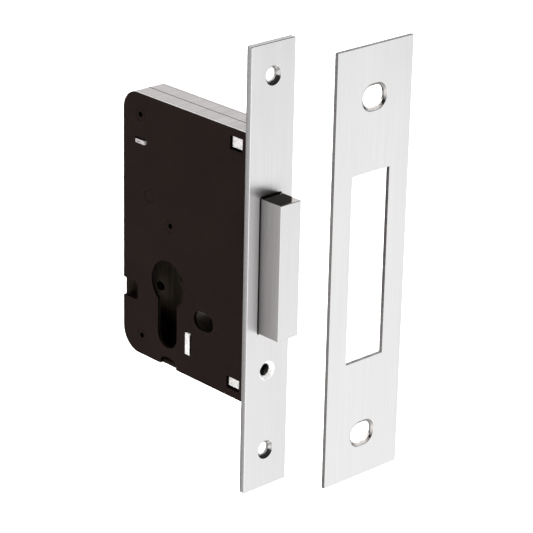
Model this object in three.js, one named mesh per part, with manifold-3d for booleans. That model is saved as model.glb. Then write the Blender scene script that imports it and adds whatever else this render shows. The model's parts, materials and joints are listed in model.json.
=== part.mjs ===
// Mortise deadlock for a euro-profile cylinder, with its strike plate.
// Millimetres. +X is the way the bolt is thrown, +Z is up, and the origin is the backset datum: the middle of
// the forend's front face, level with the axis of the cylinder.
import * as THREE from 'three';
import { mergeVertices } from 'three/addons/utils/BufferGeometryUtils.js';
import Module from 'manifold-3d';

const wasm = await Module();
wasm.setup();

// Driving dimensions
const FOREND_WIDTH = 20;
const FOREND_THICKNESS = 2.2;
const FOREND_TOP = 98.8;
const FOREND_BOTTOM = -64.7;
const FOREND_SCREW_HEIGHTS = [87.2, -50.4];
const SCREW_HOLE_RADIUS = 2.3;
const COUNTERSINK_RADIUS = 3.5;
const CASE_SEAT_DEPTH = 0.1;

const CASE_DEPTH = 14;
const CASE_TOP = 67.2;
const CASE_BOTTOM = -31.8;
const CASE_BACK = -69.2;
const TOP_CORNER_RADIUS = 7.2;
const BOTTOM_CORNER_RADIUS = 8.5;
const COVER_THICKNESS = 1.2;
const WALL_THICKNESS = 1.5;
const BRACKET_THICKNESS = 1.5;
const BRACKET_STANDOFF = 3.2;
const LUG_RECESS = 1;
const TAB_REACH = 0.5;
const SUPPORT_BODY = [-27.5, -5.5];
const SUPPORT_SCREW_RADIUS = 2.8;
const BRACKET_SCREW_RADIUS = 3;
const JOINT_GAP = 0.3;
const SLOT_GAP = 0.2;
const RUNNING_GAP = 0.1;
const FLUSH_GAP = 0.05;

const BACKSET = 45;
const CYLINDER_RADIUS = 8.65;
const CYLINDER_SLOT_RADIUS = 5.15;
const CYLINDER_SLOT_DROP = 19.5;
const CYLINDER_SCREW_DROP = 20;

const BOLT_WIDTH = 9.4;
const BOLT_HEIGHT = 49.6;
const BOLT_CENTRE = 20.1;
const BOLT_THROW = 10;
const BOLT_ROOT = 16;
const BOLT_CLEARANCE = 0.15;
const APERTURE_CLEARANCE = 0.35;
const APERTURE_CORNER_RADIUS = 0.4;
const BOLT_RIVETS = [[-12, 29], [-12, 12]];
const BOLT_RIVET_RADIUS = 1.5;
const GUIDE_LENGTH = 9.5;
const GUIDE_WALL = 2.6;

const TAIL_THICKNESS = 3;
const TAIL_BOTTOM = 12.2;
const TALON_WIDTH = 16;
const TALON_TOP = 16.5;
const NOTCH_FLOOR = 27.6;
const TAIL_SLOT = { x: [-BOLT_ROOT, -8], z: [5, 36] };
const TAIL_REAR = { x: -57, top: 27.3, chamfer: 2 };
const TAIL_RIDGE = 31;
const TAIL_SHOULDER = { x: -21, z: 31.4 };
const TAIL_TOE = [-24, -18];
const DETENT_RAMP_TOP = 29.87;
const NOTCH_TO_NOTCH_WALL = 4.2;

const LEVER_LAYER = [1.9, 3.9];
const LEVER_STUD = { x: -37, z: 29.45, radius: 1.75 };
const WASHER = { outer: 4, inner: 2.5, thickness: 0.7 };
const PIVOT_SHOULDER_RADIUS = 2.8;

const SPRING_AXIS = { x: -60.8, y: 2.9 };
const SPRING_EYE_HEIGHT = 33.4;
const SPRING_EYE_RADIUS = 0.9;
const SPRING_COIL = { radius: 1.5, bottom: 37.5, top: 46, turns: 7, perTurn: 10 };
const SPRING_WIRE_RADIUS = 0.28;
const ANCHOR_EYE_RADIUS = 0.8;
const ANCHOR_WING = 1.5;

const POST_RADIUS = 3;
const POST_EYE_RADIUS = 0.85;
const RIVET_END_RADIUS = 2.2;
const GUIDE_POST = [-43.76, 22.38];
const UPPER_POST = [-60, 59.5];
const LOWER_POST = [-59, -24.4];
const LEVER_PIVOT = [-55.2, 30.4];

const STRIKE_WIDTH = 35.2;
const STRIKE_HEIGHT = 158;
const STRIKE_THICKNESS = 1.5;
const STRIKE_CENTRE = { x: 23.6, y: 24, z: 20.1 };
const STRIKE_OPENING = { width: 17.5, height: 68.6, shift: -0.3 };
const STRIKE_SCREWS = { spacing: 123.5, shift: -1 };
const STRIKE_HOLE = { inner: 3.75, outer: 4.9, depth: 0.65, stretch: 2.3 };

// Derived places
const CASE_FRONT = -FOREND_THICKNESS - JOINT_GAP;
const FACE = CASE_DEPTH / 2;
const INNER_FACE = FACE - COVER_THICKNESS;
const SEAM = JOINT_GAP / 2;
const BOLT_TOP = BOLT_CENTRE + BOLT_HEIGHT / 2;
const BOLT_BOTTOM = BOLT_CENTRE - BOLT_HEIGHT / 2;
const INSIDE = INNER_FACE - SLOT_GAP;

// Windows and slots in the covers: the lug or tab that fills each one is a little smaller.
const UPPER_WINDOW = { x: [-13.2, -7.0], z: [59.4, 64.3] };
const LOWER_WINDOW = { x: [-13.2, -6.7], z: [-28.8, -24.4] };
const SUPPORT_SLOT = { x: [-35.1, -32.1], z: [-23.6, -14.8] };
const ANCHOR_SLOT = { x: [-62.8, -56.6], z: [48.7, 50.8] };
const FIXING_SLOT = { x: [-30.7, -20.6], z: -8.2, radius: 3.45 };
const BACK_NOTCH = { depth: 7.8, z: [-11.4, -4.5] };
const BOTTOM_NOTCH = { x: [-48.6, -40.2], height: 3 };
const NOTCH_CORNER_RADIUS = 1.5;
const ANCHOR_SPAN = [ANCHOR_SLOT.z[0] + SLOT_GAP, ANCHOR_SLOT.z[1] - 2 * SLOT_GAP];

const lacquer = { color: 0x2b2320, roughness: 0.45, metalness: 0.2 };
const zinc = { color: 0xbdb8b4, roughness: 0.4, metalness: 0.9 };
const stainless = { color: 0xdcdbda, roughness: 0.3, metalness: 0.95 };
const plainSteel = { color: 0x9a9895, roughness: 0.45, metalness: 0.9 };
const nylon = { color: 0x1c1c1c, roughness: 0.6, metalness: 0 };

// Solids and meshes

function toSolid(geometry) {
  geometry.deleteAttribute('normal');
  geometry.deleteAttribute('uv');
  const merged = mergeVertices(geometry, 1e-4);
  return new wasm.Manifold(new wasm.Mesh({
    numProp: 3,
    vertProperties: new Float32Array(merged.attributes.position.array),
    triVerts: new Uint32Array(merged.index.array),
  }));
}

function toGeometry(solid) {
  const mesh = solid.getMesh();
  const geometry = new THREE.BufferGeometry();
  geometry.setAttribute('position', new THREE.BufferAttribute(mesh.vertProperties, 3));
  geometry.setIndex(new THREE.BufferAttribute(mesh.triVerts, 1));
  geometry.computeVertexNormals();
  return geometry;
}

function join(solids) {
  return solids.reduce((sum, solid) => sum.add(solid));
}

function cut(solid, cutters) {
  return cutters.reduce((rest, cutter) => rest.subtract(cutter), solid);
}

// An outline drawn in X and Z, as thick as the range y0 to y1.
function slabXZ(shape, y0, y1, curveSegments = 6) {
  const geometry = new THREE.ExtrudeGeometry(shape, { depth: y1 - y0, bevelEnabled: false, curveSegments });
  geometry.rotateX(Math.PI / 2);
  geometry.translate(0, y1, 0);
  return toSolid(geometry);
}

// An outline drawn in Y and Z, as thick as the range x0 to x1.
function slabYZ(shape, x0, x1, curveSegments = 6) {
  const geometry = new THREE.ExtrudeGeometry(shape, { depth: x1 - x0, bevelEnabled: false, curveSegments });
  const turn = new THREE.Matrix4().makeBasis(
    new THREE.Vector3(0, 1, 0), new THREE.Vector3(0, 0, 1), new THREE.Vector3(1, 0, 0));
  geometry.applyMatrix4(turn);
  geometry.translate(x0, 0, 0);
  return toSolid(geometry);
}

// An outline drawn in X and Y, as thick as the range z0 to z1.
function slabXY(shape, z0, z1) {
  const geometry = new THREE.ExtrudeGeometry(shape, { depth: z1 - z0, bevelEnabled: false });
  geometry.translate(0, 0, z0);
  return toSolid(geometry);
}

function box(x, y, z) {
  const geometry = new THREE.BoxGeometry(x[1] - x[0], y[1] - y[0], z[1] - z[0]);
  geometry.translate((x[0] + x[1]) / 2, (y[0] + y[1]) / 2, (z[0] + z[1]) / 2);
  return toSolid(geometry);
}

// A turned piece along Y: steps are [radius, y] pairs, from the -Y end to the +Y end, closed on the axis.
function turnedAlongY([x, z], steps, sides = 24) {
  const profile = [[0, steps[0][1]], ...steps, [0, steps.at(-1)[1]]];
  const geometry = new THREE.LatheGeometry(profile.map(([r, y]) => new THREE.Vector2(r, y)), sides);
  geometry.translate(x, 0, z);
  return toSolid(geometry);
}

// A turned piece along X: steps are [radius, x] pairs, from the -X end to the +X end.
function turnedAlongX([y, z], steps, sides = 32) {
  const profile = [[0, steps[0][1]], ...steps, [0, steps.at(-1)[1]]];
  const geometry = new THREE.LatheGeometry(profile.map(([r, x]) => new THREE.Vector2(r, x)), sides);
  geometry.rotateZ(-Math.PI / 2);
  geometry.translate(0, y, z);
  return toSolid(geometry);
}

function pinAlongY(centre, radius, y0, y1, sides) {
  return turnedAlongY(centre, [[radius, y0], [radius, y1]], sides);
}

// Outlines

function rectangle(x0, x1, y0, y1) {
  return new THREE.Shape([[x0, y0], [x1, y0], [x1, y1], [x0, y1]].map(([x, y]) => new THREE.Vector2(x, y)));
}

function polygon(points) {
  return new THREE.Shape(points.map(([x, y]) => new THREE.Vector2(x, y)));
}

// A closed outline through the corners, each rounded to its own radius: corners are [x, y, radius].
function roundedPolygon(corners) {
  const shape = new THREE.Shape();
  corners.forEach(([x, y, radius = 0], i) => {
    const corner = new THREE.Vector2(x, y);
    const before = new THREE.Vector2(...corners.at(i - 1).slice(0, 2));
    const after = new THREE.Vector2(...corners[(i + 1) % corners.length].slice(0, 2));
    const inDirection = before.clone().sub(corner).normalize();
    const outDirection = after.clone().sub(corner).normalize();
    const halfAngle = Math.acos(THREE.MathUtils.clamp(inDirection.dot(outDirection), -1, 1)) / 2;
    const reach = radius / Math.tan(halfAngle);
    const start = corner.clone().addScaledVector(inDirection, reach);
    const end = corner.clone().addScaledVector(outDirection, reach);
    if (i === 0) shape.moveTo(start.x, start.y);
    else shape.lineTo(start.x, start.y);
    if (radius === 0) return;
    const middle = inDirection.clone().add(outDirection).normalize();
    const centre = corner.clone().addScaledVector(middle, radius / Math.sin(halfAngle));
    const startAngle = Math.atan2(start.y - centre.y, start.x - centre.x);
    const endAngle = Math.atan2(end.y - centre.y, end.x - centre.x);
    const clockwise = inDirection.cross(outDirection) > 0;
    shape.absarc(centre.x, centre.y, radius, startAngle, endAngle, clockwise);
  });
  shape.closePath();
  return shape;
}

function obround(x0, x1, z, radius) {
  return roundedPolygon([
    [x0, z - radius, radius * 0.999], [x1, z - radius, radius * 0.999],
    [x1, z + radius, radius * 0.999], [x0, z + radius, radius * 0.999]]);
}

function caseOutline() {
  return roundedPolygon([
    [CASE_FRONT, CASE_BOTTOM], [CASE_FRONT, CASE_TOP],
    [CASE_BACK, CASE_TOP, TOP_CORNER_RADIUS], [CASE_BACK, CASE_BOTTOM, BOTTOM_CORNER_RADIUS]]);
}

// The case's wall: the outline of the case, open at the front.
function wallOutline() {
  const t = WALL_THICKNESS;
  return roundedPolygon([
    [CASE_FRONT, CASE_TOP - t], [CASE_FRONT, CASE_TOP],
    [CASE_BACK, CASE_TOP, TOP_CORNER_RADIUS], [CASE_BACK, CASE_BOTTOM, BOTTOM_CORNER_RADIUS],
    [CASE_FRONT, CASE_BOTTOM], [CASE_FRONT, CASE_BOTTOM + t],
    [CASE_BACK + t, CASE_BOTTOM + t, BOTTOM_CORNER_RADIUS - t],
    [CASE_BACK + t, CASE_TOP - t, TOP_CORNER_RADIUS - t]]);
}

function cylinderProfile() {
  const junction = Math.acos(CYLINDER_SLOT_RADIUS / CYLINDER_RADIUS);
  const shape = new THREE.Shape();
  shape.absarc(-BACKSET, 0, CYLINDER_RADIUS, -junction, Math.PI + junction, false);
  shape.absarc(-BACKSET, -CYLINDER_SLOT_DROP, CYLINDER_SLOT_RADIUS, Math.PI, 2 * Math.PI, false);
  shape.closePath();
  return shape;
}

function notches() {
  const outside = 5;
  const round = NOTCH_CORNER_RADIUS;
  const [z0, z1] = BACK_NOTCH.z;
  const backEdge = CASE_BACK + BACK_NOTCH.depth;
  const [x0, x1] = BOTTOM_NOTCH.x;
  const topEdge = CASE_BOTTOM + BOTTOM_NOTCH.height;
  return [
    roundedPolygon([
      [CASE_BACK - outside, z0], [backEdge, z0, round], [backEdge, z1, round], [CASE_BACK - outside, z1]]),
    roundedPolygon([
      [x0, CASE_BOTTOM - outside], [x1, CASE_BOTTOM - outside], [x1, topEdge, round], [x0, topEdge, round]])];
}

// Case

// One cover plate: side is -1 for the near cover, which has the two edge notches, and +1 for the far one.
function cover(side) {
  const span = [side * INNER_FACE, side * FACE].sort((a, b) => a - b);
  const through = [span[0] - 1, span[1] + 1];
  const windows = [UPPER_WINDOW, LOWER_WINDOW, SUPPORT_SLOT, ANCHOR_SLOT];
  const openings = [
    slabXZ(cylinderProfile(), ...through, 16),
    slabXZ(obround(...FIXING_SLOT.x, FIXING_SLOT.z, FIXING_SLOT.radius), ...through, 4),
    ...windows.map(({ x, z }) => box(x, through, z)),
    ...(side < 0 ? notches() : []).map((outline) => slabXZ(outline, ...through, 3)),
    ...[UPPER_POST, LOWER_POST, GUIDE_POST, LEVER_PIVOT].map(
      (centre) => pinAlongY(centre, RIVET_END_RADIUS + SLOT_GAP, ...through))];
  return cut(slabXZ(caseOutline(), ...span, 8), openings);
}

// One half of the case's wall, from the seam to the cover.
function rim(side) {
  const span = [side * SEAM, side * INNER_FACE].sort((a, b) => a - b);
  return slabXZ(wallOutline(), ...span, 8);
}

// An angle piece behind the forend. Its shelf ends in lugs that fill the windows of both covers.
function forendBracket(leg, window, hole = []) {
  const legFront = CASE_FRONT;
  const shelf = {
    x: [window.x[0] + SLOT_GAP, legFront],
    z: [window.z[0] + 3 * SLOT_GAP, window.z[1] - SLOT_GAP],
  };
  const lugReach = FACE - LUG_RECESS;
  const plate = box([legFront - BRACKET_THICKNESS, legFront], [-INSIDE, INSIDE], leg);
  const shelfPlate = box(shelf.x, [-INSIDE, INSIDE], shelf.z);
  const lugs = box([shelf.x[0], window.x[1] - SLOT_GAP], [-lugReach, lugReach], shelf.z);
  return cut(join([plate, shelfPlate, lugs]), hole);
}

function upperBracket() {
  return forendBracket([BOLT_TOP + BRACKET_STANDOFF, CASE_TOP - WALL_THICKNESS - JOINT_GAP], UPPER_WINDOW);
}

function lowerBracket() {
  const screwHole = turnedAlongX([0, -CYLINDER_SCREW_DROP], [
    [BRACKET_SCREW_RADIUS, CASE_FRONT - BRACKET_THICKNESS - 1], [BRACKET_SCREW_RADIUS, CASE_FRONT + 1]]);
  return forendBracket(
    [CASE_BOTTOM + WALL_THICKNESS + JOINT_GAP, BOLT_BOTTOM - BRACKET_STANDOFF], LOWER_WINDOW, [screwHole]);
}

// A hollow post between the covers, with a thinner end in each of them.
function post(centre) {
  const shoulder = INSIDE;
  const end = FACE - FLUSH_GAP;
  const body = turnedAlongY(centre, [
    [RIVET_END_RADIUS, -end], [RIVET_END_RADIUS, -shoulder], [POST_RADIUS, -shoulder],
    [POST_RADIUS, shoulder], [RIVET_END_RADIUS, shoulder], [RIVET_END_RADIUS, end]]);
  return cut(body, [pinAlongY(centre, POST_EYE_RADIUS, -FACE - 1, FACE + 1, 12)]);
}

function leverPivotStud() {
  const end = FACE - FLUSH_GAP;
  const bearing = RIVET_END_RADIUS + RUNNING_GAP;
  const shoulder = PIVOT_SHOULDER_RADIUS;
  const shoulderEnd = LEVER_LAYER[0] - RUNNING_GAP;
  return turnedAlongY(LEVER_PIVOT, [
    [RIVET_END_RADIUS, -end], [RIVET_END_RADIUS, -INSIDE], [shoulder, -INSIDE],
    [shoulder, shoulderEnd], [bearing, shoulderEnd],
    [bearing, INSIDE], [RIVET_END_RADIUS, INSIDE], [RIVET_END_RADIUS, end]]);
}

function leverWasher() {
  const start = LEVER_LAYER[1] + RUNNING_GAP;
  const end = start + WASHER.thickness;
  const ring = pinAlongY(LEVER_PIVOT, WASHER.outer, start, end);
  return cut(ring, [pinAlongY(LEVER_PIVOT, WASHER.inner, start - 1, end + 1)]);
}

// The tabs of a cross plate come a little way through the covers.
const TAB_END = FACE + TAB_REACH;

// The plate that the cylinder's fixing screw passes through on its way back to the cylinder.
function cylinderScrewSupport() {
  const x = [SUPPORT_SLOT.x[0] + JOINT_GAP, SUPPORT_SLOT.x[1] - JOINT_GAP];
  const tab = [SUPPORT_SLOT.z[0] + JOINT_GAP, SUPPORT_SLOT.z[1] - JOINT_GAP];
  const body = join([box(x, [-INSIDE, INSIDE], SUPPORT_BODY), box(x, [-TAB_END, TAB_END], tab)]);
  return cut(body, [turnedAlongX([0, -CYLINDER_SCREW_DROP], [
    [SUPPORT_SCREW_RADIUS, x[0] - 1], [SUPPORT_SCREW_RADIUS, x[1] + 1]])]);
}

// A cross bar that the spring hangs from: wide between the covers, with a narrow tab through each.
function springAnchor() {
  const [x0, x1] = [ANCHOR_SLOT.x[0] + JOINT_GAP, ANCHOR_SLOT.x[1] - JOINT_GAP];
  const wing = ANCHOR_WING;
  const outline = polygon([
    [x0, -TAB_END], [x1, -TAB_END], [x1, -INSIDE], [x1 + wing, -INSIDE],
    [x1 + wing, INSIDE], [x1, INSIDE], [x1, TAB_END], [x0, TAB_END],
    [x0, INSIDE], [x0 - wing, INSIDE], [x0 - wing, -INSIDE], [x0, -INSIDE]]);
  const eye = new THREE.Path().absarc(SPRING_AXIS.x, SPRING_AXIS.y, ANCHOR_EYE_RADIUS, 0, 2 * Math.PI, true);
  outline.holes.push(eye);
  return slabXY(outline, ...ANCHOR_SPAN);
}

// Forend

// A countersunk hole along X, outer wide at x = front and inner wide from depth on.
function countersink([y, z], front, inner, outer, depth, thickness) {
  const slope = (outer - inner) / depth;
  return turnedAlongX([y, z], [
    [inner, front - thickness - 1], [inner, front - depth], [outer + slope, front + 1]]);
}

function forend() {
  const back = -FOREND_THICKNESS;
  const half = FOREND_WIDTH / 2;
  const plate = box([back, 0], [-half, half], [FOREND_BOTTOM, FOREND_TOP]);
  const side = BOLT_WIDTH / 2 + APERTURE_CLEARANCE;
  const [low, high] = [BOLT_BOTTOM - APERTURE_CLEARANCE, BOLT_TOP + APERTURE_CLEARANCE];
  const round = APERTURE_CORNER_RADIUS;
  const opening = roundedPolygon([
    [-side, low, round], [side, low, round], [side, high, round], [-side, high, round]]);
  const aperture = slabYZ(opening, back - 1, 1, 4);
  const seat = box(
    [back - 1, back + CASE_SEAT_DEPTH], [-half - 1, half + 1],
    [CASE_BOTTOM - JOINT_GAP, CASE_TOP + JOINT_GAP]);
  const heights = [...FOREND_SCREW_HEIGHTS, -CYLINDER_SCREW_DROP];
  const holes = heights.map(
    (z) => countersink(
      [0, z], 0, SCREW_HOLE_RADIUS, COUNTERSINK_RADIUS, COUNTERSINK_RADIUS - SCREW_HOLE_RADIUS,
      FOREND_THICKNESS));
  return cut(plate, [aperture, seat, ...holes]);
}

// Bolt

function deadboltHead() {
  const half = BOLT_WIDTH / 2;
  const block = box([-BOLT_ROOT, BOLT_THROW], [-half, half], [BOLT_BOTTOM, BOLT_TOP]);
  const slotHalf = TAIL_THICKNESS / 2 + BOLT_CLEARANCE;
  const slot = box([TAIL_SLOT.x[0] - 1, TAIL_SLOT.x[1]], [-slotHalf, slotHalf], TAIL_SLOT.z);
  const holes = BOLT_RIVETS.map(
    (centre) => pinAlongY(centre, BOLT_RIVET_RADIUS + BOLT_CLEARANCE, -half - 1, half + 1, 16));
  return cut(block, [slot, ...holes]);
}

// The tail runs back over the cylinder. Below is the talon notch that the cam turns in, above are the two
// detent notches, one bolt throw apart, and between them the slot that rides on the guide post.
function boltTail() {
  const middle = -BACKSET + BOLT_THROW / 2;
  const talon = [middle - TALON_WIDTH / 2, middle + TALON_WIDTH / 2];
  const fit = JOINT_GAP;
  const { x: rear, top: rearTop, chamfer } = TAIL_REAR;
  const [front, headBottom, headTop] = [TAIL_SLOT.x[1] - fit, TAIL_SLOT.z[0] + fit, TAIL_SLOT.z[1] - fit];
  const studGap = RUNNING_GAP / 2;
  const notchRear = LEVER_STUD.x - LEVER_STUD.radius - 5 * studGap;
  const rampFoot = LEVER_STUD.x + LEVER_STUD.radius + studGap;
  const rampTop = notchRear + BOLT_THROW - RUNNING_GAP;
  const secondNotchFront = rampTop + NOTCH_TO_NOTCH_WALL;
  const outline = polygon([
    [front, headBottom], [front, headTop], [TAIL_SHOULDER.x, headTop],
    [secondNotchFront, TAIL_SHOULDER.z], [secondNotchFront, NOTCH_FLOOR],
    [rampTop, NOTCH_FLOOR], [rampTop, DETENT_RAMP_TOP], [rampFoot, NOTCH_FLOOR],
    [notchRear, NOTCH_FLOOR], [notchRear, TAIL_RIDGE], [notchRear - 2.5, TAIL_RIDGE],
    [notchRear - 4.5, rearTop], [rear + chamfer, rearTop], [rear, rearTop - chamfer],
    [rear, TAIL_BOTTOM + chamfer], [rear + chamfer, TAIL_BOTTOM],
    [talon[0], TAIL_BOTTOM], [talon[0], TALON_TOP], [talon[1], TALON_TOP], [talon[1], TAIL_BOTTOM],
    [TAIL_TOE[0], TAIL_BOTTOM], [TAIL_TOE[1], headBottom]]);
  const half = TAIL_THICKNESS / 2;
  const slotRadius = POST_RADIUS + BOLT_CLEARANCE;
  const [postX, postZ] = GUIDE_POST;
  const slot = slabXZ(
    obround(postX - slotRadius, postX + BOLT_THROW + slotRadius, postZ, slotRadius), -half - 1, half + 1, 5);
  const holes = BOLT_RIVETS.map(
    (centre) => pinAlongY(centre, BOLT_RIVET_RADIUS + BOLT_CLEARANCE, -half - 1, half + 1, 16));
  return cut(slabXZ(outline, -half, half), [slot, ...holes]);
}

function boltRivet(centre) {
  const end = BOLT_WIDTH / 2 - FLUSH_GAP;
  return pinAlongY(centre, BOLT_RIVET_RADIUS, -end, end, 16);
}

// A sleeve round the head, between the covers and just behind the forend.
function boltGuide() {
  const x = [CASE_FRONT - GUIDE_LENGTH, CASE_FRONT];
  const inner = BOLT_CLEARANCE;
  const outer = inner + GUIDE_WALL;
  const body = box(x, [-INSIDE, INSIDE], [BOLT_BOTTOM - outer, BOLT_TOP + outer]);
  const half = BOLT_WIDTH / 2 + inner;
  return cut(body, [box([x[0] - 1, x[1] + 1], [-half, half], [BOLT_BOTTOM - inner, BOLT_TOP + inner])]);
}

// Detent lever

function detentLever() {
  const outline = roundedPolygon([
    [-50.5, 13.5, 1.5], [-41, 13.5, 1.5], [-36.5, 17.5, 1.5], [-33.5, 27, 2], [-33.5, 33, 2],
    [-38, 35.5, 2], [-54, 36, 3], [-63, 35.4, 1.6], [-63, 31.4, 1.6], [-58, 26, 3], [-53, 23, 2],
    [-52.5, 17, 2]]);
  const through = [LEVER_LAYER[0] - 1, LEVER_LAYER[1] + 1];
  const window = roundedPolygon([[-49.5, 16.4, 2], [-40, 16.4, 2], [-40, 26.4, 2], [-49.5, 26.4, 2]]);
  return cut(slabXZ(outline, ...LEVER_LAYER, 3), [
    slabXZ(window, ...through, 3),
    pinAlongY(LEVER_PIVOT, RIVET_END_RADIUS + 2 * RUNNING_GAP, ...through),
    pinAlongY([LEVER_STUD.x, LEVER_STUD.z], LEVER_STUD.radius + BOLT_CLEARANCE, ...through, 16),
    pinAlongY([SPRING_AXIS.x, SPRING_EYE_HEIGHT], SPRING_EYE_RADIUS, ...through, 12)]);
}

function detentStud() {
  const { x, z, radius } = LEVER_STUD;
  return pinAlongY([x, z], radius, -TAIL_THICKNESS / 2, LEVER_LAYER[1] + JOINT_GAP, 16);
}

// Centre line of the extension spring: hooked through the lever's ear, coiled, and bent over the anchor.
function springLine() {
  const { x, y } = SPRING_AXIS;
  const coil = SPRING_COIL;
  const eyeHeight = SPRING_EYE_HEIGHT;
  const anchorTop = ANCHOR_SPAN[1];
  const near = LEVER_LAYER[0] - 0.7;
  const far = LEVER_LAYER[1] + 0.7;
  const points = [
    [x, far, eyeHeight + 1.4], [x, far, eyeHeight + 0.5], [x, y, eyeHeight],
    [x, near, eyeHeight + 0.6], [x, near, eyeHeight + 2.6]];
  for (let i = 0; i <= coil.turns * coil.perTurn; i += 1) {
    const part = i / (coil.turns * coil.perTurn);
    const angle = -Math.PI / 2 + (2 * Math.PI * i) / coil.perTurn;
    points.push([
      x + coil.radius * Math.cos(angle), y + coil.radius * Math.sin(angle),
      THREE.MathUtils.lerp(coil.bottom, coil.top, part)]);
  }
  points.push(
    [x, y, coil.top + 1.6], [x, y, anchorTop + 0.4], [x + 0.5, y, anchorTop + 1.2],
    [x + 2, y, anchorTop + 1.4]);
  return new THREE.CatmullRomCurve3(points.map((point) => new THREE.Vector3(...point)));
}

function leverSpring() {
  const wire = new THREE.Shape().absarc(0, 0, SPRING_WIRE_RADIUS, 0, 2 * Math.PI, false);
  return toSolid(new THREE.ExtrudeGeometry(
    wire, { steps: 100, bevelEnabled: false, curveSegments: 3, extrudePath: springLine() }));
}

// Strike plate

// The strike's screw holes are drawn out sideways, so that the plate can be shifted as it is fitted.
function strikeHole(z) {
  const { inner, outer, depth, stretch } = STRIKE_HOLE;
  const front = STRIKE_CENTRE.x;
  const y = [STRIKE_CENTRE.y - stretch / 2, STRIKE_CENTRE.y + stretch / 2];
  const ends = y.map((end) => countersink([end, z], front, inner, outer, depth, STRIKE_THICKNESS));
  const wide = outer + (outer - inner) / depth;
  const between = polygon([
    [front - STRIKE_THICKNESS - 1, z - inner], [front - depth, z - inner], [front + 1, z - wide],
    [front + 1, z + wide], [front - depth, z + inner], [front - STRIKE_THICKNESS - 1, z + inner]]);
  return join([...ends, slabXZ(between, ...y)]);
}

function strikePlate() {
  const { x, y, z } = STRIKE_CENTRE;
  const { width, height, shift } = STRIKE_OPENING;
  const plate = slabYZ(
    rectangle(y - STRIKE_WIDTH / 2, y + STRIKE_WIDTH / 2, z - STRIKE_HEIGHT / 2, z + STRIKE_HEIGHT / 2),
    x - STRIKE_THICKNESS, x);
  const centre = y + shift;
  const opening = box(
    [x - STRIKE_THICKNESS - 1, x + 1], [centre - width / 2, centre + width / 2],
    [z - height / 2, z + height / 2]);
  const holes = [-STRIKE_SCREWS.spacing / 2, STRIKE_SCREWS.spacing / 2].map(
    (offset) => strikeHole(z + STRIKE_SCREWS.shift + offset));
  return cut(plate, [opening, ...holes]);
}

// Assembly

const pieces = [
  ['near_cover', cover(-1), lacquer],
  ['far_cover', cover(1), lacquer],
  ['near_rim', rim(-1), zinc],
  ['far_rim', rim(1), zinc],
  ['forend', forend(), stainless],
  ['forend_bracket_upper', upperBracket(), zinc],
  ['forend_bracket_lower', lowerBracket(), zinc],
  ['case_post_upper', post(UPPER_POST), plainSteel],
  ['case_post_lower', post(LOWER_POST), plainSteel],
  ['bolt_guide_post', post(GUIDE_POST), plainSteel],
  ['lever_pivot_stud', leverPivotStud(), plainSteel],
  ['lever_washer', leverWasher(), plainSteel],
  ['cylinder_screw_support', cylinderScrewSupport(), zinc],
  ['spring_anchor', springAnchor(), zinc],
  ['bolt_guide', boltGuide(), nylon],
  ['deadbolt_head', deadboltHead(), stainless],
  ['bolt_tail', boltTail(), plainSteel],
  ['bolt_rivet_upper', boltRivet(BOLT_RIVETS[0]), plainSteel],
  ['bolt_rivet_lower', boltRivet(BOLT_RIVETS[1]), plainSteel],
  ['detent_lever', detentLever(), plainSteel],
  ['detent_stud', detentStud(), plainSteel],
  ['lever_spring', leverSpring(), plainSteel],
  ['strike_plate', strikePlate(), stainless],
];

const mortiseLock = new THREE.Group();
for (const [name, solid, finish] of pieces) {
  const mesh = new THREE.Mesh(toGeometry(solid), new THREE.MeshStandardMaterial(finish));
  mesh.name = name;
  mortiseLock.add(mesh);
}

export default mortiseLock;
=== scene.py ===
"""Looks of the mortise lock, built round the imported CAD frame.

Every visible piece is a new mesh made from its CAD node: flat faces merged, edges rounded as on a stamped or
machined part, and detail added. Lengths are in metres.
"""
import json
import math

import bmesh
import bpy
from mathutils import Matrix, Vector


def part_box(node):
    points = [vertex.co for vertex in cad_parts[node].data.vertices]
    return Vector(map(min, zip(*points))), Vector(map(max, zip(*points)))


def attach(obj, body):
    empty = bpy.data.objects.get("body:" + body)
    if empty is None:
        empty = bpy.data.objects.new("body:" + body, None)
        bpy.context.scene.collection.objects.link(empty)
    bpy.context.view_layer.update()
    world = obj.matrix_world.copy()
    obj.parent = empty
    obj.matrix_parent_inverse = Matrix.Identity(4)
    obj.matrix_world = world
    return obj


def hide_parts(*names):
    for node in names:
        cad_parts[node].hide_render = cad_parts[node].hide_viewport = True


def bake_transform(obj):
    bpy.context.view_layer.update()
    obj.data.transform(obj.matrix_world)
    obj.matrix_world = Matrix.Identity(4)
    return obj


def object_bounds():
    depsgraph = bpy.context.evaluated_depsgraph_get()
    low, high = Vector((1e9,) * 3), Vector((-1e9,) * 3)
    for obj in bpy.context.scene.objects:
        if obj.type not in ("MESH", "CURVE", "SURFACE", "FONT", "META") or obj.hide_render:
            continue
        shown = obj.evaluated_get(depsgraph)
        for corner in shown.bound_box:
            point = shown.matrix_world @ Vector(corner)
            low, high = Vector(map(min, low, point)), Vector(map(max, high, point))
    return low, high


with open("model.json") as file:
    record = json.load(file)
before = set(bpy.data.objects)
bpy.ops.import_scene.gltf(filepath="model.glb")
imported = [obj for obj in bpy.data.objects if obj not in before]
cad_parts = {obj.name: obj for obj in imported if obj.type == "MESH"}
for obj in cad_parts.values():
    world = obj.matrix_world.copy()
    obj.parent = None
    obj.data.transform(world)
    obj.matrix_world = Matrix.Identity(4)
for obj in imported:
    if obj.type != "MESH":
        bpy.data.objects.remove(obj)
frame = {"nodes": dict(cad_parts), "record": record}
cad_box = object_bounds()
MM = 0.001
bpy.context.scene.view_settings.view_transform = "Standard"


# Node helpers

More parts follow.
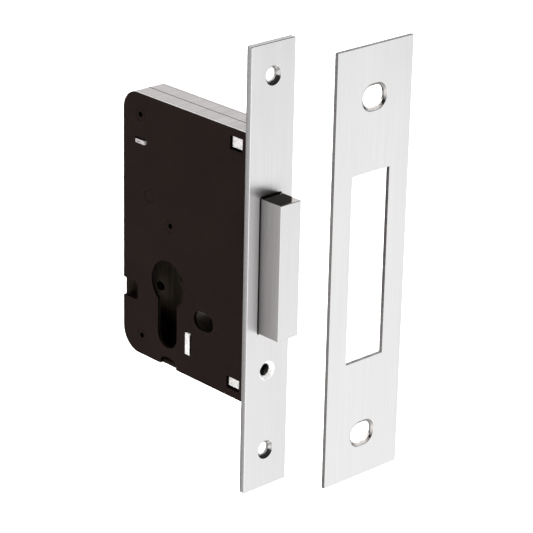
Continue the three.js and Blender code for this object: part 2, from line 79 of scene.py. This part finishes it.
class Nodes:
    """A node tree, with short calls for the nodes used here. A value is a socket to link or a constant."""

    def __init__(self, tree):
        self.tree = tree

    def feed(self, value, socket):
        if isinstance(value, bpy.types.NodeSocket):
            self.tree.links.new(value, socket)
        elif socket.type == "RGBA":
            socket.default_value = (*value, 1.0)
        else:
            socket.default_value = value

    def node(self, kind, **inputs):
        made = self.tree.nodes.new("ShaderNode" + kind)
        for name, value in inputs.items():
            self.feed(value, made.inputs[name])
        return made

    def math(self, operation, *values):
        made = self.node("Math")
        made.operation = operation
        for value, socket in zip(values, made.inputs):
            self.feed(value, socket)
        return made.outputs["Value"]

    def ramp(self, value, low, high, start=0.3, end=0.7, curve="LINEAR"):
        """low to high as the value goes from start to end."""
        limits = {"From Min": start, "From Max": end, "To Min": low, "To Max": high}
        made = self.node("MapRange", Value=value, **limits)
        made.interpolation_type = curve
        return made.outputs["Result"]


class Shader(Nodes):
    """A new material. Its patterns lie in object space."""

    def __init__(self, name):
        self.material = bpy.data.materials.new(name)
        self.material.use_nodes = True
        super().__init__(self.material.node_tree)
        self.bsdf = self.tree.nodes["Principled BSDF"]
        self.position = self.node("TexCoord").outputs["Object"]

    def set(self, **inputs):
        """Sets the shader's sockets: base_color stands for Base Color, and so on."""
        for name, value in inputs.items():
            self.feed(value, self.bsdf.inputs[name.replace("_", " ").title()])

    def noise(self, scale, detail=2.0, roughness=0.5):
        """Noise with its own scale along X, Y and Z."""
        place = self.node("Mapping", Vector=self.position, Scale=scale).outputs["Vector"]
        made = self.node("TexNoise", Vector=place, Scale=1.0, Detail=detail, Roughness=roughness)
        return made.outputs["Fac"]

    def along(self, axis):
        return self.node("SeparateXYZ", Vector=self.position).outputs[axis]

    def mix(self, factor, colour_a, colour_b):
        made = self.node("Mix")
        made.data_type = "RGBA"
        factor_in, a_in, b_in = made.inputs[0], made.inputs[6], made.inputs[7]
        self.feed(factor, factor_in)
        self.feed(colour_a, a_in)
        self.feed(colour_b, b_in)
        return made.outputs[2]

    def bump(self, height, distance):
        return self.node("Bump", Height=height, Distance=distance, Strength=1.0).outputs["Normal"]


# Materials

def brushed_metal(
        name, light, dark, grain, roughness, relief, anisotropy=0.0, metallic=1.0, broad=0.15, painted_shade_along_x=None):
    """Metal with a drawn grain: grain is the scale of the streaks along X, Y and Z, small along the grain.

    broad is the share of wide streaks. The last argument is (start, end, tone), a painted shade: the colour
    rises from that tone to its full value between two X positions.
    """
    s = Shader(name)
    fine = s.noise(grain, detail=3.0, roughness=0.65)
    wide = s.noise(tuple(0.2 * g for g in grain))
    cloud = s.noise((60, 60, 30), detail=3.0)
    streaks = s.math("ADD", s.math("MULTIPLY", fine, 1.0 - broad), s.math("MULTIPLY", wide, broad))
    colour = s.mix(s.ramp(streaks, 0.0, 1.0, 0.32, 0.68), dark, light)
    # Painted shade: the colour is darkened towards the lower X end.
    if painted_shade_along_x:
        start, end, tone = painted_shade_along_x
        colour = s.mix(s.ramp(s.along("X"), 0.0, 1.0, start, end), tuple(tone * c for c in dark), colour)
    s.set(
        base_color=colour,
        roughness=s.math("ADD", s.ramp(streaks, roughness[1], roughness[0]), s.ramp(cloud, -0.03, 0.03)),
        normal=s.bump(streaks, relief),
        metallic=metallic,
        anisotropic=anisotropy)
    if anisotropy:
        across = s.node("Tangent")
        across.direction_type = "RADIAL"
        across.axis = "Z"
        s.set(tangent=across.outputs["Tangent"])
    return s.material


def sheared_metal(name, burnished, torn, back, front):
    """The edge of a blanked plate: torn and rough at the back, burnished towards its front face."""
    s = Shader(name)
    grit = s.noise((1100, 1100, 900), detail=3.0, roughness=0.7)
    patchy = s.math("ADD", s.ramp(s.along("X"), 0.0, 0.55, back, front), s.ramp(grit, 0.0, 0.45))
    s.set(
        base_color=s.mix(patchy, torn, burnished),
        roughness=s.ramp(patchy, 0.5, 0.28, 0.0, 1.0),
        normal=s.bump(grit, 0.012 * MM),
        metallic=1.0)
    return s.material


def turned_seat(name, light, dark, painted_shade_facing_down):
    """A turned countersink with painted shade where it faces down, bare at the sides and matt where it faces
    up.
    """
    s = Shader(name)
    grain = s.noise((900, 900, 900), detail=3.0)
    up = s.node("SeparateXYZ", Vector=s.node("NewGeometry").outputs["Normal"]).outputs["Z"]
    bare = s.mix(s.ramp(grain, 0.0, 1.0), dark, light)
    s.set(
        # Painted shade: the colour darkens where the seat faces down.
        base_color=s.mix(s.ramp(up, 0.0, 1.0, -0.6, -0.05), painted_shade_facing_down, bare),
        metallic=s.ramp(up, 1.0, 0.1, 0.35, 0.55),
        roughness=s.ramp(grain, 0.18, 0.28),
        normal=s.bump(grain, 0.001 * MM))
    return s.material


def lacquered_steel(name, dark, light, roughness, gloss, clouds=(45, 45, 45)):
    """Dark satin lacquer over steel, with a fine orange peel, faint clouds and soft handling marks."""
    s = Shader(name)
    cloud = s.noise(clouds, detail=4.0)
    speck = s.noise((900, 900, 900), detail=1.0)
    peel = s.noise((1600, 1600, 1600))
    rubbed = s.noise((25, 400, 120), detail=3.0)
    shade = s.math("ADD", s.math("MULTIPLY", cloud, 0.7), s.math("MULTIPLY", speck, 0.3))
    s.set(
        base_color=s.mix(s.ramp(shade, 0.0, 1.0, 0.35, 0.65), dark, light),
        roughness=s.ramp(rubbed, *roughness),
        normal=s.bump(peel, 0.012 * MM))
    s.bsdf.inputs["Specular IOR Level"].default_value = gloss
    return s.material


def plastic(name, light, dark):
    """Moulded nylon with a fine grain."""
    s = Shader(name)
    grain = s.noise((2500, 2500, 2500))
    cloud = s.noise((120, 120, 120))
    s.set(
        base_color=s.mix(s.ramp(cloud, 0.0, 1.0), dark, light),
        roughness=s.ramp(grain, 0.5, 0.62),
        normal=s.bump(grain, 0.01 * MM))
    return s.material


ALONG_Z = (2600, 2600, 28)
ALONG_Y = (2200, 40, 2200)
ALONG_X = (28, 2600, 2600)
EVERY_WAY = (900, 900, 900)

# Forend, bolt and strike plate
STAINLESS = brushed_metal(
    "stainless_brushed", (0.835, 0.832, 0.832), (0.79, 0.788, 0.788),
    ALONG_Z, (0.36, 0.43), 0.0012 * MM, anisotropy=0.75)
STAINLESS_LIGHT = brushed_metal(
    "stainless_brushed_light", (0.875, 0.875, 0.874), (0.835, 0.834, 0.832),
    ALONG_Z, (0.28, 0.36), 0.002 * MM, anisotropy=0.6)
# The bolt's ground sides, with painted shade: darker towards the forend, which shades their root.
GROUND_PAINTED_SHADE = brushed_metal(
    "steel_ground_painted_shade", (0.88, 0.84, 0.835), (0.76, 0.73, 0.725),
    ALONG_Z, (0.26, 0.36), 0.003 * MM, anisotropy=0.6, painted_shade_along_x=(0, 11 * MM, 0.24))
SAWN = brushed_metal(
    "steel_machined", (0.88, 0.835, 0.80), (0.58, 0.54, 0.515), ALONG_Y, (0.10, 0.17), 0.003 * MM)
SHEARED = brushed_metal(
    "steel_sheared", (0.52, 0.50, 0.49), (0.30, 0.29, 0.285), (300, 300, 1500), (0.32, 0.5), 0.01 * MM)
ROLLED = sheared_metal(
    "steel_rolled_edge", (0.93, 0.915, 0.91), (0.58, 0.565, 0.56), back=-2.6 * MM, front=-0.4 * MM)
POLISHED = brushed_metal(
    "stainless_worn_edge", (0.90, 0.895, 0.89), (0.80, 0.795, 0.79), EVERY_WAY, (0.06, 0.12), 0.0006 * MM)
TURNED = brushed_metal(
    "steel_turned", (0.93, 0.92, 0.915), (0.74, 0.72, 0.71), EVERY_WAY, (0.16, 0.26), 0.001 * MM)
# The strike plate's countersinks, with painted shade on their down-facing side.
TURNED_PAINTED_SHADE = turned_seat("steel_turned_painted_shade", (0.66, 0.63, 0.61), (0.50, 0.48, 0.46), (0.17, 0.155, 0.145))
# Turned steel painted nearly white and barely metallic: a painted reflection of the bright floor in the
# cylinder screw's countersink.
TURNED_PAINTED_REFLECTION = brushed_metal(
    "steel_turned_painted_reflection", (0.97, 0.965, 0.96), (0.90, 0.89, 0.885),
    EVERY_WAY, (0.25, 0.35), 0.001 * MM, metallic=0.1)

# Case
LACQUER = lacquered_steel(
    "dark_lacquer", (0.0074, 0.0036, 0.0029), (0.0094, 0.0049, 0.0040), (0.38, 0.50), 0.065)
# A darker copy of the lacquer: painted shade on the walls of the openings, in the posts' eyes and on the pip
# inside the case.
LACQUER_PAINTED_SHADE = lacquered_steel(
    "dark_lacquer_painted_shade", (0.0016, 0.0010, 0.0009), (0.0026, 0.0017, 0.0014), (0.55, 0.70), 0.03)
# A lighter copy of the lacquer for the faces inside the case: painted light where shade falls.
LACQUER_PAINTED_LIGHT = lacquered_steel(
    "lacquer_painted_light_inside", (0.026, 0.020, 0.015), (0.050, 0.039, 0.029), (0.55, 0.70), 0.1,
    clouds=(520, 520, 18))
CUT_EDGE = brushed_metal(
    "lacquer_worn_edge", (0.97, 0.955, 0.95), (0.84, 0.82, 0.815), (700, 60, 700), (0.3, 0.42), 0.006 * MM)
ZINC = brushed_metal(
    "zinc_satin", (0.83, 0.785, 0.78), (0.67, 0.635, 0.63), ALONG_Y, (0.34, 0.46), 0.004 * MM, broad=0.3)
ZINC_END = brushed_metal(
    "zinc_lug_end", (0.70, 0.68, 0.675), (0.44, 0.425, 0.42),
    EVERY_WAY, (0.4, 0.55), 0.006 * MM, metallic=0.25)
TAB_END = brushed_metal(
    "zinc_tab_end", (0.66, 0.63, 0.62), (0.20, 0.19, 0.185),
    EVERY_WAY, (0.35, 0.5), 0.01 * MM, metallic=0.5)

# Works inside the case
STAMPED = brushed_metal(
    "stamped_steel", (0.62, 0.61, 0.60), (0.46, 0.455, 0.45), ALONG_X, (0.34, 0.5), 0.006 * MM)
WIRE = brushed_metal(
    "spring_wire", (0.50, 0.50, 0.51), (0.34, 0.34, 0.35), EVERY_WAY, (0.25, 0.36), 0.003 * MM)
NYLON = plastic("guide_nylon", (0.035, 0.035, 0.035), (0.02, 0.02, 0.02))


# Mesh helpers

SHARP = math.radians(28)
SAME_PLACE = 0.0005 * MM
NEAR = 0.01 * MM
BODY_OF = {
    node: body for body, nodes in frame["record"]["behaviour"]["bodies"].items() for node in nodes}


def from_node(node, roundings):
    """The CAD node as a new mesh: flat faces merged, then edges rounded.

    Each rounding is (width, segments, choose): choose(start, end) says which of the sharp edges it takes.
    """
    made = bmesh.new()
    made.from_mesh(frame["nodes"][node].data)
    bmesh.ops.remove_doubles(made, verts=made.verts, dist=SAME_PLACE)
    bmesh.ops.dissolve_limit(
        made, angle_limit=math.radians(0.5), verts=made.verts, edges=made.edges, delimit={"NORMAL"})
    for width, segments, choose in roundings:
        edges = [
            e for e in made.edges
            if e.is_manifold and e.calc_face_angle(0.0) > SHARP and choose(e.verts[0].co, e.verts[1].co)]
        bmesh.ops.bevel(
            made, geom=edges, offset=width, offset_type="OFFSET", segments=segments, profile=0.5,
            affect="EDGES", clamp_overlap=False)
    return made


def every_edge(start, end):
    return True


def finish_piece(mesh, name, node, *materials):
    """Turns the bmesh into the object that stands for a CAD node."""
    for face in mesh.faces:
        face.smooth = True
    data = bpy.data.meshes.new(name)
    mesh.to_mesh(data)
    mesh.free()
    piece = bpy.data.objects.new(name, data)
    bpy.context.scene.collection.objects.link(piece)
    for material in materials:
        data.materials.append(material)
    weighted = piece.modifiers.new("even_normals", "WEIGHTED_NORMAL")
    weighted.keep_sharp = True
    weighted.weight = 80
    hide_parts(node)
    return piece


def build_piece(node, roundings, materials, paint=None, shape=None):
    """A rounded copy of the node, which rides on the node's body.

    roundings is what from_node takes, or one width for every sharp edge. shape(point) moves a point.
    paint(normal, centre) gives the material of a face, whose slope it tells by the normal's cosines.
    """
    if isinstance(roundings, float):
        roundings = [(roundings, 2, every_edge)]
    mesh = from_node(node, roundings)
    if shape:
        for vertex in mesh.verts:
            shape(vertex.co)
    if paint:
        for face in mesh.faces:
            face.material_index = materials.index(paint(face.normal, face.calc_center_median()))
    piece = finish_piece(mesh, node + "_visual", node, *materials)
    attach(piece, BODY_OF[node])
    return piece


def middle_of(node):
    low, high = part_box(node)
    return (low + high) / 2


# Case. The lock's middle plane is Y = 0, with the near cover on the side of negative Y.

CORNER_RADIUS = {"top": 7.2 * MM, "bottom": 8.5 * MM}
CASE_LOW, CASE_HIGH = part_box("far_cover")
CASE_MIDDLE = middle_of("far_cover")
OUTLINE = 0.4 * MM

# How widely the edges are rounded
COVER_EDGE = 0.12 * MM
RIM_EDGE = 0.1 * MM
BRACKET_EDGE = 0.15 * MM
POST_EDGE = 0.13 * MM

# The notch in the near cover's bottom edge: its middle and half its width along X, the height at which its
# corners begin, and their radius
NOTCH_MIDDLE = -44.4 * MM
NOTCH_HALF = 4.2 * MM
NOTCH_SPRING = -30.3 * MM
NOTCH_CORNER = 1.5 * MM
NOTCH_MARGIN = 0.2 * MM
ARCH_RISE = 1.4

# The pip pressed into the far cover, which shows inside the case
PIP_X, PIP_Z = -63.4 * MM, -9.9 * MM
PIP_RADIUS = 1.7 * MM
PIP_LENGTHENED = 1.25
PIP_FLATTENED = 0.6
PIP_SUNK = 0.1 * MM

# Lugs and tabs in the covers' windows: how far from the middle plane their ends lie
LUG_END = 5.9 * MM

# The top of the lower bracket's far lug: the depth at which it starts, the heights below and above it, and
# how far it is raised
SEATED_LUG_START = 5.5 * MM
SEATED_LUG_TOP = (-26 * MM, -24 * MM)
SEATED_LUG_LIFT = 0.36 * MM

# The anchor's tab: its ends' share of the full width, how far their middle is raised, and the bow in 1/m
TAB_NARROWED = 0.86
TAB_LIFT = 0.35 * MM
TAB_BOW = 60

# The ends of the posts: the thin ring in the cover and the eye in its middle, by radius
POST_END = 5.75 * MM
POST_RING = (1.5 * MM, 2.35 * MM)
POST_SPREAD = 0.14 * MM
EYE_REACH = 1.2 * MM
EYE_OPENED = 0.2
EYE_WALL = 1.15 * MM


def inset(point):
    """How far a point lies inside the case's outline, seen from the side. The two back corners are round."""
    top = point.z > CASE_MIDDLE.z
    radius = CORNER_RADIUS["top" if top else "bottom"]
    behind = CASE_LOW.x + radius - point.x
    beyond = point.z - (CASE_HIGH.z - radius) if top else CASE_LOW.z + radius - point.z
    if behind > 0 and beyond > 0:
        return radius - math.hypot(behind, beyond)
    return min(point.x - CASE_LOW.x, CASE_HIGH.x - point.x, point.z - CASE_LOW.z, CASE_HIGH.z - point.z)


def arch_notch(point):
    """The notch in the near cover is an arch: its round corners are drawn out until they meet."""
    across = point.x - NOTCH_MIDDLE
    rise = point.z - NOTCH_SPRING
    if abs(across) < NOTCH_HALF + NOTCH_MARGIN and -NOTCH_MARGIN < rise < NOTCH_CORNER + NOTCH_MARGIN:
        drawn = max(abs(across) - (NOTCH_HALF - NOTCH_CORNER), 0) * NOTCH_HALF / NOTCH_CORNER
        point.x = NOTCH_MIDDLE + math.copysign(drawn, across)
        point.z = NOTCH_SPRING + rise * ARCH_RISE


def build_covers():
    """Lacquered all over, worn bright along the outline. The walls of the openings are darker, painted shade,
    and the faces inside the case lighter, painted light.
    """
    def paint(normal, centre):
        if abs(normal.y) > 0.35:
            # Faces turned into the case take the lighter lacquer: painted light.
            return LACQUER if normal.y * centre.y > 0 else LACQUER_PAINTED_LIGHT
        # The walls of the openings take the darker lacquer: painted shade.
        return CUT_EDGE if inset(centre) < OUTLINE else LACQUER_PAINTED_SHADE

    materials = (LACQUER, CUT_EDGE, LACQUER_PAINTED_SHADE, LACQUER_PAINTED_LIGHT)
    build_piece("near_cover", COVER_EDGE, materials, paint, arch_notch)
    build_piece("far_cover", COVER_EDGE, materials, paint)


def build_pip():
    """A shallow oval dome on the far cover's inner face, in the darker lacquer of painted shade."""
    dome = bmesh.new()
    bmesh.ops.create_uvsphere(dome, u_segments=24, v_segments=12, radius=PIP_RADIUS)
    for vertex in dome.verts:
        vertex.co.x *= PIP_LENGTHENED
        vertex.co.y *= PIP_FLATTENED
        vertex.co += Vector((PIP_X, CASE_LOW.y + PIP_SUNK, PIP_Z))
    pip = finish_piece(dome, "far_cover_pip", "far_cover", LACQUER_PAINTED_SHADE)
    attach(pip, "case")


def build_rims():
    """Bright zinc outside; the edges are dark, and the inner walls that face the forend are a lighter
    lacquer, painted light.
    """
    def paint(normal, centre):
        outward = (centre.x - CASE_MIDDLE.x) * normal.x + (centre.z - CASE_MIDDLE.z) * normal.z > 0
        if abs(normal.y) < 0.8 and outward and inset(centre) < OUTLINE:
            return ZINC
        # Inner walls facing the forend take the lighter lacquer: painted light.
        return LACQUER_PAINTED_LIGHT if normal.x > 0.7 else LACQUER

    for node in ("near_rim", "far_rim"):
        build_piece(node, RIM_EDGE, (ZINC, LACQUER, LACQUER_PAINTED_LIGHT), paint)


def build_bracket(node, end, shape=None):
    """A zinc piece whose lugs or tabs show in the covers' windows: end is the metal of their sheared ends."""
    def paint(normal, centre):
        return end if abs(centre.y) > LUG_END else ZINC

    build_piece(node, BRACKET_EDGE, (ZINC, end), paint, shape)


def build_brackets():
    """The forend's two angle pieces, the cylinder screw's support and the spring's anchor."""
    tab_middle = middle_of("spring_anchor")

    def seat_lug(point):
        """The far lug fills its window up to the top."""
        bottom, top = SEATED_LUG_TOP
        if point.y > SEATED_LUG_START and bottom < point.z < top:
            point.z += SEATED_LUG_LIFT

    def draw_in_tab(point):
        """The tab's ends are a little narrower than its root, and bowed."""
        if abs(point.y) > LUG_END:
            across = point.x - tab_middle.x
            point.x = tab_middle.x + TAB_NARROWED * across
            point.z += TAB_LIFT - TAB_BOW * across * across

    build_bracket("forend_bracket_upper", ZINC_END)
    build_bracket("forend_bracket_lower", ZINC_END, seat_lug)
    build_bracket("cylinder_screw_support", ZINC_END)
    build_bracket("spring_anchor", TAB_END, draw_in_tab)


def build_post(node):
    """A post peened over in the covers, with the lacquer run over its ends and painted shade in its eye. The
    lever's stud has no eye.
    """
    middle = middle_of(node)

    def from_axis(point):
        return Vector((point.x - middle.x, 0, point.z - middle.z))

    def spread(point):
        """The thin ends fill their holes in the covers, and any eye is opened a little."""
        out = from_axis(point)
        inner, outer = POST_RING
        if abs(point.y) > POST_END and inner < out.length < outer:
            point += out.normalized() * POST_SPREAD
        elif out.length < EYE_REACH:
            point += EYE_OPENED * out

    def paint(normal, centre):
        in_eye = from_axis(centre).length < EYE_WALL
        # The eye's walls take the darker lacquer: painted shade in the recess.
        return LACQUER_PAINTED_SHADE if in_eye and abs(normal.y) < 0.6 else LACQUER

    build_piece(node, POST_EDGE, (LACQUER, LACQUER_PAINTED_SHADE), paint, spread)


def build_posts():
    """The three hollow posts, and the lever's pivot stud, which is solid."""
    for node in ("case_post_upper", "case_post_lower", "bolt_guide_post", "lever_pivot_stud"):
        build_post(node)


# Forend, bolt and strike

FOREND_SCREW_HEIGHTS = (87.2 * MM, -50.4 * MM)
CYLINDER_SCREW_HEIGHT = -20 * MM
COUNTERSINK_REACH = 4 * MM

# The strike plate's screw holes lie between these heights, above and below its middle, and within this reach
# of its centre line
STRIKE_HOLE_HEIGHTS = (50 * MM, 72 * MM)
STRIKE_HOLE_REACH = 7 * MM

# How widely the edges are rounded
FOREND_CORNER = 0.55 * MM
FOREND_OUTLINE = 0.24 * MM
FOREND_OPENING = 0.07 * MM
BOLT_EDGE = 0.22 * MM
STRIKE_EDGE = 0.12 * MM


def build_forend():
    """A brushed face, rolled edges and turned countersinks; the cylinder screw's countersink has a painted
    reflection.
    """
    low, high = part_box("forend")

    def in_countersink(centre, height):
        return math.hypot(centre.y, centre.z - height) < COUNTERSINK_REACH

    def paint(normal, centre):
        if abs(normal.x) > 0.99:
            return STAINLESS
        # The cylinder screw's countersink gets the painted reflection.
        if in_countersink(centre, CYLINDER_SCREW_HEIGHT):
            return TURNED_PAINTED_REFLECTION
        if any(in_countersink(centre, height) for height in FOREND_SCREW_HEIGHTS):
            return TURNED
        return POLISHED if normal.x > 0.2 else ROLLED

    def at_corner(start, end):
        """The four short edges through the plate's thickness."""
        across = abs(start.y - end.y) + abs(start.z - end.z)
        return across < NEAR and min(start.z - low.z, high.z - start.z) < NEAR

    def on_front(start, end):
        return min(start.x, end.x) > -NEAR

    def round_the_outside(start, end):
        middle = (start + end) / 2
        return on_front(start, end) and min(
            middle.y - low.y, high.y - middle.y, middle.z - low.z, high.z - middle.z) < MM

    def at_openings(start, end):
        return on_front(start, end) and not round_the_outside(start, end)

    roundings = [
        (FOREND_CORNER, 4, at_corner),
        (FOREND_OUTLINE, 3, round_the_outside),
        (FOREND_OPENING, 2, at_openings)]
    build_piece("forend", roundings, (STAINLESS, ROLLED, TURNED, TURNED_PAINTED_REFLECTION, POLISHED), paint)


def build_bolt_head():
    """A brushed nose, ground sides with painted shade towards the forend, and machined ends, with its edges
    worn bright.
    """
    low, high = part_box("deadbolt_head")

    def paint(normal, centre):
        if abs(normal.z) > 0.9:
            return SAWN
        if abs(normal.y) > 0.9:
            return GROUND_PAINTED_SHADE
        return STAINLESS if abs(normal.x) > 0.9 else POLISHED

    def on_outside(start, end):
        """The edges of the block itself, not those of its slot and rivet holes."""
        ends = [
            sum(min(abs(p[i] - low[i]), abs(p[i] - high[i])) < NEAR for i in range(3))
            for p in (start, end)]
        return min(ends) >= 2 and max(start.x, end.x) > low.x + MM

    build_piece("deadbolt_head", [(BOLT_EDGE, 3, on_outside)], (STAINLESS, GROUND_PAINTED_SHADE, SAWN, POLISHED), paint)


def build_strike():
    """A brushed face, sheared edges and turned countersinks, with painted shade where they face down.

    The loose plate isn't mirrored in the lock, as if each had been set up by itself.
    """
    middle = middle_of("strike_plate")
    nearest, farthest = STRIKE_HOLE_HEIGHTS

    def paint(normal, centre):
        if abs(normal.x) > 0.93:
            return STAINLESS_LIGHT
        height = abs(centre.z - middle.z)
        if nearest < height < farthest and abs(centre.y - middle.y) < STRIKE_HOLE_REACH:
            return TURNED_PAINTED_SHADE
        return STAINLESS_LIGHT if normal.x > 0.8 else SHEARED

    plate = build_piece("strike_plate", STRIKE_EDGE, (STAINLESS_LIGHT, SHEARED, TURNED_PAINTED_SHADE), paint)
    plate.visible_glossy = False


# Works inside the case

STAMPED_EDGE = 0.12 * MM
GUIDE_EDGE = 0.2 * MM


def build_spring():
    """The lever's spring as one mesh, attached to no body. In the lock its upper end stays with the case
    and its lower end turns with the lever.
    """
    spring = finish_piece(from_node("lever_spring", []), "lever_spring_visual", "lever_spring", WIRE)
    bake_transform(spring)


def build_works():
    """The bolt's tail, the lever and their fastenings, the spring and the bolt's guide."""
    for node in (
            "bolt_tail", "detent_lever", "lever_washer", "bolt_rivet_upper", "bolt_rivet_lower",
            "detent_stud"):
        build_piece(node, STAMPED_EDGE, (STAMPED,))
    build_spring()
    build_piece("bolt_guide", GUIDE_EDGE, (NYLON,))


# Stage

def build_floor():
    """A pale ground below the lock, left out of its reflections."""
    low, _ = cad_box
    size, drop = 30, 0.12
    bpy.ops.mesh.primitive_plane_add(size=size, location=(0, 0, low.z - drop))
    floor = bpy.context.object
    floor.name = "floor"
    s = Shader("pale_floor")
    tone = s.noise((3, 3, 3))
    s.set(base_color=s.mix(s.ramp(tone, 0.0, 1.0), (0.90, 0.90, 0.90), (0.92, 0.92, 0.92)), roughness=0.9)
    s.bsdf.inputs["Specular IOR Level"].default_value = 0.1
    floor.data.materials.append(s.material)
    floor.visible_glossy = False


def build_studio():
    """A white sweep below and behind, a soft box up on the left, and a dark ceiling over the front."""
    world = bpy.data.worlds.new("studio")
    bpy.context.scene.world = world
    world.use_nodes = True
    sky = Nodes(world.node_tree)
    background = sky.tree.nodes["Background"]
    direction = sky.node("TexCoord").outputs["Generated"]

    def lobe(axis, start, end, low, high):
        """low to high as the direction's cosine with the axis goes from start to end."""
        dot = sky.node("VectorMath")
        dot.operation = "DOT_PRODUCT"
        sky.feed(direction, dot.inputs[0])
        sky.feed(Vector(axis).normalized(), dot.inputs[1])
        return sky.ramp(dot.outputs["Value"], low, high, start, end, curve="SMOOTHSTEP")

    below = lobe((0, 0, -1), 0.05, 0.26, 0.0, 0.80)
    sides = sky.math(
        "MULTIPLY", lobe((0, 1, 0), -0.45, 0.15, 0.0, 1.0), lobe((1, 0, 0), -0.5, 0.1, 0.7, 1.0))
    sweep = sky.math("MULTIPLY", below, sides)
    above = lobe((0, 0, 1), -0.25, 0.05, 0.0, 1.0)
    soft_box = sky.math("MULTIPLY", above, lobe((-0.8, 0.35, 0.5), 0.35, 0.85, 0.0, 0.60))
    side_fill = lobe((-0.3, -0.9, -0.35), 0.4, 0.9, 0.0, 0.26)
    edge_light = lobe((0.92, -0.15, -0.36), 0.85, 0.97, 0.0, 0.6)
    corner_card = lobe((0.65, -0.66, -0.38), 0.75, 0.97, 0.0, 0.5)
    everywhere = 0.22
    fills = sky.math("ADD", sky.math("ADD", side_fill, edge_light), sky.math("ADD", corner_card, everywhere))
    bright = sky.math("ADD", sky.math("ADD", sweep, soft_box), fills)
    ceiling = sky.math(
        "MULTIPLY", lobe((0, 0, 1), -0.1, 0.12, 0.0, 0.88), lobe((1, 0, 0), -0.5, -0.1, 0.0, 1.0))
    sky.feed((1, 1, 1), background.inputs["Color"])
    sky.feed(sky.math("MULTIPLY", bright, sky.math("SUBTRACT", 1.0, ceiling)), background.inputs["Strength"])


def soft_light(name, place, size, watts):
    """A round area light that faces the lock and isn't seen in it."""
    target = Vector((-0.02, 0.01, 0.02))
    data = bpy.data.lights.new(name, "AREA")
    data.shape = "DISK"
    data.size = size
    data.energy = watts
    light = bpy.data.objects.new(name, data)
    bpy.context.scene.collection.objects.link(light)
    light.location = place
    light.rotation_mode = "QUATERNION"
    light.rotation_quaternion = (target - Vector(place)).to_track_quat("-Z", "Y")
    light.visible_glossy = False


def build_lights():
    soft_light("overhead", place=(-0.29, 0.32, 4.03), size=4.08, watts=462)
    soft_light("front_fill", place=(-0.4, -1.2, 0.3), size=0.9, watts=13)
    soft_light("bolt_side", place=(1.2, -0.1, -0.1), size=0.8, watts=16)


def build_camera():
    """The product shot's angle: from the bolt's side and a little above, with a long lens."""
    azimuth = math.radians(46.77)
    elevation = math.radians(22.06)
    roll = math.radians(1.26)
    distance = 0.847
    target = middle_of("forend") + Vector((-0.3, 0, 1.5)) * MM

    back = Vector((
        math.sin(azimuth) * math.cos(elevation),
        -math.cos(azimuth) * math.cos(elevation),
        math.sin(elevation)))
    right = (-back).cross(Vector((0, 0, 1))).normalized()
    up = right.cross(-back)
    across = math.cos(roll) * right + math.sin(roll) * up
    upward = math.cos(roll) * up - math.sin(roll) * right

    data = bpy.data.cameras.new("product_camera")
    data.sensor_width = 36
    data.lens = 167.6
    data.clip_start = 0.05
    data.clip_end = 30
    camera = bpy.data.objects.new("product_camera", data)
    bpy.context.scene.collection.objects.link(camera)
    turn = Matrix((across, upward, back)).transposed().to_4x4()
    camera.matrix_world = Matrix.Translation(target + back * distance) @ turn
    bpy.context.scene.camera = camera


build_covers()
build_pip()
build_rims()
build_brackets()
build_posts()
build_forend()
build_bolt_head()
build_strike()
build_works()
build_floor()
build_studio()
build_lights()
build_camera()
